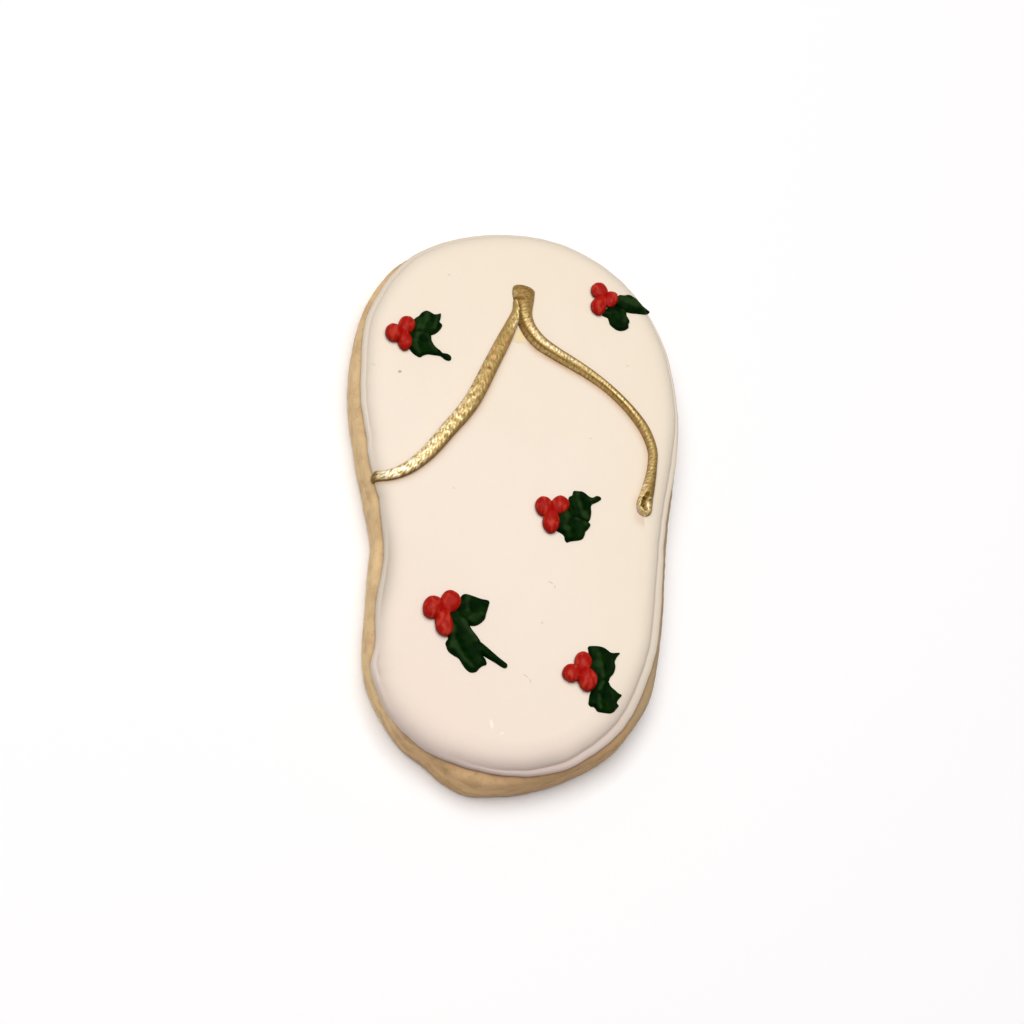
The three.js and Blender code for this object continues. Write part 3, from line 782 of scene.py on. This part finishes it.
sprigs["toe_left"] = {
    "berries": [
        (-22.15, 27.4, 1.5, 1.7, 0, 1.7), (-19.85, 29.3, 1.42, 1.6, 0, 1.6),
        (-20.2, 26, 1.25, 1.65, 0, 1.5)],
    "meeting": (-21, 27.6),
    "leaves": [
        {"outline": [
            (-15.7, 27.9), (-14.8, 28.4), (-14.1, 29.2), (-13.7, 30.2), (-14.15, 30.7), (-14, 31.5),
            (-14, 32.4), (-14.6, 32.2), (-15.1, 32.1), (-15.8, 32.4), (-16.6, 32.6), (-17.3, 32.2),
            (-17.8, 31.5), (-18.4, 31), (-19, 30.2), (-18.95, 29), (-18.8, 28), (-17, 27.4)],
         "folds": [
             (-17.2, 29, -16.2, 31.8, 0.17, 0.68), (-15.2, 29.2, -14.6, 31.6, 0.13, 0.45),
             (-18.2, 28.6, -17.6, 30.6, 0.1, 0.6)]},
        {"outline": [
            (-19.4, 28.5), (-19.7, 27.4), (-19.6, 26.2), (-19.4, 25), (-18.8, 24.2), (-18.1, 23.7),
            (-17.5, 23.5), (-16.9, 23.9), (-16.2, 24.2), (-15, 24.2), (-14.3, 24.3), (-14.2, 25.2),
            (-15, 26), (-15.5, 27), (-15.7, 28.1), (-17, 28.9)],
         "folds": [
             (-18.1, 27.6, -18.2, 24.6, 0.17, 0.6), (-16.3, 27.4, -15.1, 24.9, 0.13, 0.6),
             (-17.2, 27, -16.6, 25, -0.13, 0.45)],
         "tail": [
             (-16, 25.3, 1.5, 0.8), (-14.4, 24.75, 1.15, 0.7), (-13.75, 24.45, 0.75, 0.55),
             (-12.95, 24.15, 1.2, 0.65), (-12.1, 23.75, 0.95, 0.5)]},
    ],
}

sprigs["toe_right"] = {
    "berries": [
        (14.05, 40.4, 1.45, 1.6, 0, 1.6), (13.8, 37.1, 1.28, 1.55, 20, 1.5),
        (16.2, 39, 1.2, 1.7, -20, 1.4)],
    "meeting": (15.2, 39.4),
    "leaves": [
        {"outline": [
            (17.8, 40.3), (17.2, 39.6), (16.9, 38.4), (17.5, 37.7), (18.8, 37.1), (19.9, 36.95),
            (20.7, 37), (21.6, 37.1), (22.4, 37.3), (23.1, 37.8), (23.7, 38.35), (22.9, 38.95),
            (22.05, 39.6), (21.2, 40.25), (20.2, 40.65), (19.4, 40.7), (18.7, 40.4)],
         "folds": [(17.9, 39.2, 20.4, 39.2, 0.17, 0.9), (20.4, 39.2, 22.4, 38.3, 0.14, 0.75)]},
        {"outline": [
            (14.2, 36.2), (15, 35.6), (15.6, 35.4), (15.8, 34.9), (16, 34.2), (16.5, 33.7),
            (17.3, 33.2), (18.2, 33.2), (18.9, 33.5), (19.4, 34), (19.4, 34.6), (19.6, 35.2),
            (19.4, 35.7), (19.1, 36.2), (19, 37.2), (17.8, 37.9), (16.6, 37.9), (15.8, 37.5), (15, 36.9)],
         "folds": [
             (18.7, 35.9, 18.6, 33.9, 0.13, 0.6), (15.4, 36.2, 17, 36.3, 0.1, 0.6),
             (18.2, 37.1, 18.8, 36.9, 0.1, 0.52)]},
    ],
}

sprigs["arch"] = {
    "berries": [
        (3.87, -2.17, 1.5, 1.72, 0, 1.7), (6.82, -1.45, 1.5, 1.55, 0, 1.6), (5.05, -5, 1.42, 1.95, 0, 1.7)],
    "meeting": (5.2, -2.7),
    "leaves": [
        {"outline": [
            (9.1, 1.4), (8.9, 0.7), (8.3, 0.2), (8.2, -1), (7.9, -2.4), (9.4, -3.8), (11.6, -4),
            (11.9, -3.6), (12.1, -2.9), (12.2, -2.1), (12.15, -1.2), (12.4, -0.65), (13, -0.3),
            (13.6, 0.1), (13.95, 0.5), (13.7, 0.85), (13.1, 0.95), (12.5, 0.6), (12.1, 0.6), (11.7, 0.8),
            (11.2, 1.2), (10.6, 1.5), (9.8, 1.5)],
         "folds": [
             (9.6, 0.9, 9.8, -1, 0.13, 0.6), (10, -1.8, 11.2, -3.6, 0.19, 0.6),
             (9.2, -1.2, 9.4, -3.4, -0.17, 0.45), (12.2, -0.1, 13.5, 0.5, 0.09, 0.45)]},
        {"outline": [
            (7.5, -2), (6.4, -2.9), (6.1, -4.1), (5.95, -5.4), (6.1, -6.2), (6.9, -6.6), (7.4, -7.05),
            (7.55, -7.8), (7.9, -8.15), (8.5, -7.9), (9.4, -7.7), (10.25, -7.45), (10.7, -7.1),
            (11, -6.4), (11.15, -5.85), (11.6, -5.3), (12, -4.5), (11.7, -4.1), (10.6, -3.7),
            (9, -3)],
         "folds": [
             (7.9, -3, 7.6, -5.6, 0.17, 0.68), (9.4, -3.8, 11.2, -4.6, 0.15, 0.68),
             (7.9, -5.9, 8.3, -7.3, 0.1, 0.6), (8.9, -4.8, 9.6, -6.8, -0.1, 0.75)]},
    ],
}

sprigs["heel_left"] = {
    "berries": [
        (-14.8, -22.15, 1.62, 2.05, -20, 1.8), (-11.75, -20.8, 1.6, 1.87, 0, 1.8),
        (-12.85, -25, 1.5, 2.1, 8, 1.7)],
    "meeting": (-13.2, -22.4),
    "leaves": [
        {"outline": [
            (-5.3, -20), (-6.7, -19.7), (-8.1, -19.3), (-9.4, -19.1), (-9.9, -19.4), (-10.2, -20.2),
            (-10.6, -21.5), (-10.7, -22.7), (-9.4, -24), (-8.3, -24.6), (-7.5, -24.5), (-6.7, -24),
            (-6, -23.2), (-5.8, -22.4), (-5.5, -21.3)],
         "folds": [
             (-9.1, -19.8, -9, -22, 0.13, 0.6), (-8.4, -23.4, -6.6, -22.8, 0.15, 0.68),
             (-7.4, -21.2, -6.2, -20.8, -0.1, 0.9)]},
        {"outline": [
            (-8.9, -23.2), (-9.8, -22.1), (-11.3, -21.9), (-12.1, -23.3), (-12.2, -25.4), (-12.15, -27.2),
            (-12.5, -27.9), (-12.4, -28.5), (-12, -29.4), (-11.2, -30), (-10.3, -30.5), (-9.7, -31.4),
            (-9.1, -32.2), (-8.3, -32.7), (-7.4, -32.5), (-6.8, -31.8), (-6.3, -31.4), (-5.7, -31.1),
            (-5.8, -30.4), (-6.2, -29.7), (-6.2, -28.6), (-6.6, -27.4), (-7.2, -26.4), (-8.3, -25)],
         "folds": [
             (-9.7, -24, -7.6, -26.9, 0.17, 0.68), (-11.4, -25.4, -11.2, -28.6, 0.15, 0.68),
             (-11.2, -28.6, -8.5, -31.7, 0.17, 0.6), (-10.2, -26.6, -8.2, -30, -0.17, 0.68),
             (-7.6, -29.6, -6.4, -30.9, 0.1, 0.45)],
         "tail": [
             (-8, -27.4, 1.6, 0.8), (-6.6, -28.4, 1.7, 0.8), (-5, -29.5, 1.4, 0.7),
             (-4, -30.15, 1.15, 0.6), (-3, -30.8, 1.05, 0.6), (-2.3, -31.2, 0.9, 0.5)]},
    ],
}

sprigs["heel_right"] = {
    "berries": [
        (10.3, -29.15, 1.45, 1.6, 0, 1.7), (8.3, -31.5, 1.52, 1.55, 0, 1.7),
        (11.05, -32.45, 1.54, 1.95, -10, 1.8)],
    "meeting": (9.8, -31.2),
    "leaves": [
        {"outline": [
            (11.3, -26.4), (11.35, -27.5), (11.35, -28.6), (11.3, -29.7), (11.3, -30.8), (11.7, -31.8),
            (12.4, -32.7), (13.6, -33), (14.6, -32.3), (15, -31.4), (15.5, -30.8), (15.8, -30.1),
            (15.9, -29.4), (15.8, -28.7), (16, -28.1), (16.3, -27.6), (16.7, -27), (16.1, -27),
            (15.5, -27.1), (15, -27), (14.6, -26.7), (13.9, -26.3), (13.1, -26.15), (12.1, -26.2)],
         "folds": [
             (12.5, -26.9, 13.3, -29.6, 0.13, 0.75), (13.3, -29.6, 13.5, -31.4, 0.17, 0.52),
             (15.2, -28.2, 15.1, -30.4, 0.1, 0.52), (14.2, -27.6, 14.4, -30.4, -0.1, 0.68)]},
        {"outline": [
            (14.6, -32.1), (13.6, -31.7), (12.6, -32.2), (12.1, -33.4), (11.6, -34.3), (11.4, -34.9),
            (11.3, -35.6), (11.25, -36.4), (11.6, -36.75), (12.1, -36.8), (12.4, -37.1), (12.7, -37.5),
            (13.3, -37.6), (14.1, -37.65), (14.9, -37.6), (15.5, -37.3), (16, -36.7), (16.4, -36.1),
            (16.1, -35.8), (16.15, -35.4), (16.5, -34.9), (16.9, -34.3), (16.3, -34), (15.8, -33.6),
            (15, -32.9)],
         "folds": [
             (13.7, -32.5, 13, -33.8, 0.17, 0.45), (12.9, -34.9, 13.1, -37, 0.15, 0.52),
             (15, -34.6, 15.6, -36.4, 0.1, 0.6), (14, -34.2, 14.2, -36.6, -0.13, 0.68)]},
    ],
}


# A piped dot: rings from the foot to the top, with the radius a power of cos v at a height along
# sin v, drawn in a little at the foot; soft noise makes it uneven. The side that faces the
# meeting point reaches past it, because the dots were piped wet against one another.
def berryShell(x, y, radiusAcross, radiusAlong, turn, height, meeting, seed):
    waist, tuck, sink = holly["berryWaist"], holly["berryTuck"], holly["berrySink"]
    v = np.linspace(-tuck, 1, holly["berryRings"] + 1)[:-1, None] * np.pi / 2
    u = np.linspace(0, 2 * np.pi, holly["berryAround"], endpoint=False)
    radius = np.cos(v) ** 0.86
    below, above = waist * np.sin(v) / np.sin(tuck * np.pi / 2), (1 - waist) * np.sin(v)
    rise = waist + np.where(v < 0, below, above)
    ball = np.dstack(np.broadcast_arrays(radius * np.cos(u), radius * np.sin(u), rise))
    swell = 1 + 0.035 * ripple(ball, 1.6, seed) + 0.012 * ripple(ball, 0.6, seed + 1)
    angle = np.radians(turn)
    turning = np.array([[np.cos(angle), np.sin(angle)], [-np.sin(angle), np.cos(angle)]])
    turned = (ball[..., :2] * swell[..., None] * [radiusAcross, radiusAlong]) @ turning
    toMeeting = np.array(meeting) - [x, y]
    gap = np.linalg.norm(toMeeting)
    towards = toMeeting / gap
    reached = 1 / np.linalg.norm((turning @ towards) / [radiusAcross, radiusAlong])
    stretch = max(0.0, (gap + holly["berryOverlap"]) / reached - 1)
    turned = turned + towards * (stretch * np.maximum(turned @ towards, 0))[..., None]
    base = icingTopAt(np.array([[x, y]]))[0] - sink
    z = base + (height + sink) * ball[..., 2] * (0.5 + 0.5 * swell)
    grid = np.dstack([turned + [x, y], z])
    return (grid, (x, y, base), (x, y, grid[-1, :, 2].mean() + 0.002)), ball[..., 2]


# A drawn shape: rings from the outline in to the middle. The height grows from the edge inwards as a
# quarter ellipse of the distance to the edge; folds are ridges or valleys with a bell-shaped section.
def drawnShell(leaf, height, edgeRound, lumps, seed):
    outline = smoothCurve(leaf["outline"], holly["leafAround"], closed=True)
    middle = outline.mean(0)
    shrink = 1 - np.linspace(0, 1, holly["leafRings"] + 1)[:-1] ** 1.5
    xy = middle + (outline - middle)[None] * shrink[:, None, None]
    fromEdge = nearest(xy, outline)[0]
    fromEdge[0] = 0
    rounding = np.clip(fromEdge / edgeRound, 0, 1)
    body = np.sqrt(1 - (1 - rounding) ** 2)
    lumpy = lumps * (ripple(xy, 2.2, seed) + 0.5 * ripple(xy, 1.1, seed + 1))
    lift = (foldLift(xy, leaf["folds"]) + lumpy) * body
    base = np.maximum(icingTopAt(xy), biscuitThick + holly["leafFloor"]) - holly["leafSink"]
    top = np.dstack([xy, base + height * body + lift])
    foot = np.column_stack([xy[0], base[0] - 0.1])[None]
    grid = np.concatenate([foot, top])
    ridge = np.concatenate([np.zeros((1, len(outline))), lift])
    return (grid, (*middle, base[-1].mean() - 0.1), (*middle, grid[-1, :, 2].mean())), ridge


# A leaf's pulled tail: a round-topped section along a short path.
def tailShell(path, seed):
    shell, paint = strandShell({
        "path": path, "boxy": 0.9, "steps": 90, "blunt": (0.5, 0.5), "chip": 1.5, "chipDepth": 0.03,
        "crackDepth": 0, "seed": seed, "slant": [[1, 0], [0, 1]], "streak": 0,
        "shadeAcross": {0: [0, 0]}, "highlightAndPolishAcross": {0: [0, 0]}})
    return shell, 0 * paint["shade"]


def berryMaterial():
    material, tree, shader = newMaterial("redIcing", {
        "Roughness": 0.45, "Specular IOR Level": 0.1, "Subsurface Weight": 0.15,
        "Subsurface Radius": (1.0, 0.15, 0.06), "Subsurface Scale": 0.0008})
    streak = grain(tree, 1.0, detail=2.0, stretch=(1.5, 0.7, 1.0))
    colour = layTones(
        tree, holly["redTone"], holly,
        brightRed=remap(tree, streak, 0.45, 0.66, 0.0, 0.9),
        # painted shade, darker towards the foot of each berry
        deepRed=remap(tree, readAttribute(tree, "rise"), 0.75, 0.2),
        meeting=remap(tree, readAttribute(tree, "meeting"), 0.1, 0.8))
    tree.links.new(colour, shader.inputs["Base Color"])
    addBump(tree, shader, grain(tree, 0.6), 0.02, 0.3)
    return material


def leafMaterial():
    material, tree, shader = newMaterial("greenIcing", {"Roughness": 0.5, "Specular IOR Level": 0.025})
    colour = layTones(
        tree, holly["deepGreenTone"], holly,
        green=remap(tree, grain(tree, 1.6, detail=2.0), 0.4, 0.65),
        # painted highlight on the raised folds
        paleGreen=remap(tree, readAttribute(tree, "ridge"), 0.02, 0.22, 0.0, 0.75))
    tree.links.new(colour, shader.inputs["Base Color"])
    addBump(tree, shader, grain(tree, 0.6, detail=2.0), 0.02, 0.3)
    return material


def makeSprig(name, sprig, red, green, seed):
    for number, (*shape, height) in enumerate(sprig["berries"], 1):
        shell, rise = berryShell(*shape, height, sprig["meeting"], seed + number)
        meeting = bell(shell[0][..., :2], *sprig["meeting"], holly["meetingReach"])
        layers = {"rise": withPoles(rise, 0, 1), "meeting": withPoles(meeting)}
        made = shellObject(f"{name}_dot_{number}", [shell], red, layers)
        placePiece(made, "red_icing", f"{name}_berry_{number}")
    for number, leaf in enumerate(sprig["leaves"], 1):
        drawn = [drawnShell(leaf, holly["leafHeight"], holly["leafRound"], holly["leafLumps"],
                            seed + 10 * number)]
        if "tail" in leaf:
            drawn.append(tailShell(leaf["tail"], seed + 30))
        shells, ridges = zip(*drawn)
        layers = {"ridge": np.concatenate([withPoles(ridge) for ridge in ridges])}
        made = shellObject(f"{name}_drawn_{number}", shells, green, layers)
        placePiece(made, "green_icing", f"{name}_leaf_{number}")


# Gold paint that ran into the fork of the strap, a thin drawn patch.
smear = {
    "outline": [
        (-0.25, 31.2), (-0.8, 29.9), (-1.3, 28.8), (-0.9, 28.45), (-0.1, 28.4), (0.8, 28.6), (1.2, 28.9),
        (0.6, 30), (0.1, 31)],
    "folds": [],
    "height": 0.16,
    "edgeRound": 0.5,
    "lumps": 0.01,
    "seed": 77,
    "tone": (236, 214, 164),
    "endTone": (232, 214, 188),
}


def makeSmear():
    material, tree, shader = newMaterial("thinGold", {"Roughness": 0.5, "Specular IOR Level": 0.3})
    toToe = placeAxes(tree)["Y"]
    colour = layTones(tree, smear["tone"], smear, end=remap(tree, toToe, 29.4, 28.5))
    tree.links.new(colour, shader.inputs["Base Color"])
    shell = drawnShell(smear, smear["height"], smear["edgeRound"], smear["lumps"], smear["seed"])[0]
    placePiece(shellObject("goldSmear", [shell], material), "gold_icing")


# Here the floor and the lamp are in metres, and the angles in degrees.
studio = {
    "floorSize": 3.0,
    "floorTone": (252, 252, 253),
    "worldTone": (0.95, 0.93, 1.0, 1.0),
    "worldStrength": 0.2,
    "lampPlace": (-0.12, 0.14, 1.1),
    "lampSize": 1.1,
    "lampWatts": 14.1,
    "lampTone": (1.0, 0.98, 0.955),
    # the camera looks at a point over the cookie from the heel side, a little from the left
    "lookAt": (-0.35, -1.35, 4),
    "fromLeft": 27.0,
    "elevation": 62.0,
    "distance": 420.0,
    "lens": 87.86,
}


def makeFloor():
    half = studio["floorSize"] / 2
    corners = [(-half, -half, 0), (half, -half, 0), (half, half, 0), (-half, half, 0)]
    mesh = bpy.data.meshes.new("tableTop")
    mesh.from_pydata(corners, [], [(0, 1, 2, 3)])
    settings = {"Base Color": tint(studio["floorTone"]), "Roughness": 0.9}
    mesh.materials.append(newMaterial("paleTable", settings)[0])
    addObject("tableTop", mesh)


def makeLight():
    data = bpy.data.lights.new("ceilingLamp", "AREA")
    data.energy, data.size, data.color = studio["lampWatts"], studio["lampSize"], studio["lampTone"]
    lamp = addObject("ceilingLamp", data)
    lamp.location = studio["lampPlace"]
    lamp.rotation_euler = (-Vector(studio["lampPlace"])).to_track_quat("-Z", "Y").to_euler()
    world = bpy.data.worlds.new("studioAir")
    world.use_nodes = True
    background = world.node_tree.nodes["Background"]
    background.inputs["Color"].default_value = studio["worldTone"]
    background.inputs["Strength"].default_value = studio["worldStrength"]
    bpy.context.scene.world = world
    bpy.context.scene.view_settings.view_transform = "Standard"


def makeCamera():
    azimuth, elevation = np.radians(studio["fromLeft"]), np.radians(studio["elevation"])
    level = np.cos(elevation)
    back = Vector((-np.sin(azimuth) * level, -np.cos(azimuth) * level, np.sin(elevation)))
    up = (Vector((0, 1, 0)) - back * back.y).normalized()
    right = up.cross(back)
    data = bpy.data.cameras.new("tableCamera")
    data.lens, data.sensor_width, data.sensor_fit = studio["lens"], 36.0, "HORIZONTAL"
    data.clip_start, data.clip_end = 0.01, 20.0
    camera = addObject("tableCamera", data)
    place = (Vector(studio["lookAt"]) + back * studio["distance"]) * mm
    camera.matrix_world = Matrix.Translation(place) @ Matrix((right, up, back)).transposed().to_4x4()
    bpy.context.scene.camera = camera


makeBiscuit(doughMaterial())
print("biscuit baked")
makeIcing(icingMaterial())
print("icing flooded")
makeStrap(goldMaterial())
print("strap piped")
redIcing, greenIcing = berryMaterial(), leafMaterial()
for number, (name, sprig) in enumerate(sprigs.items()):
    makeSprig(name, sprig, redIcing, greenIcing, 100 + 60 * number)
print("holly piped")
makeSmear()
print("smear laid")
makeFloor()
makeLight()
makeCamera()
print("studio lit")
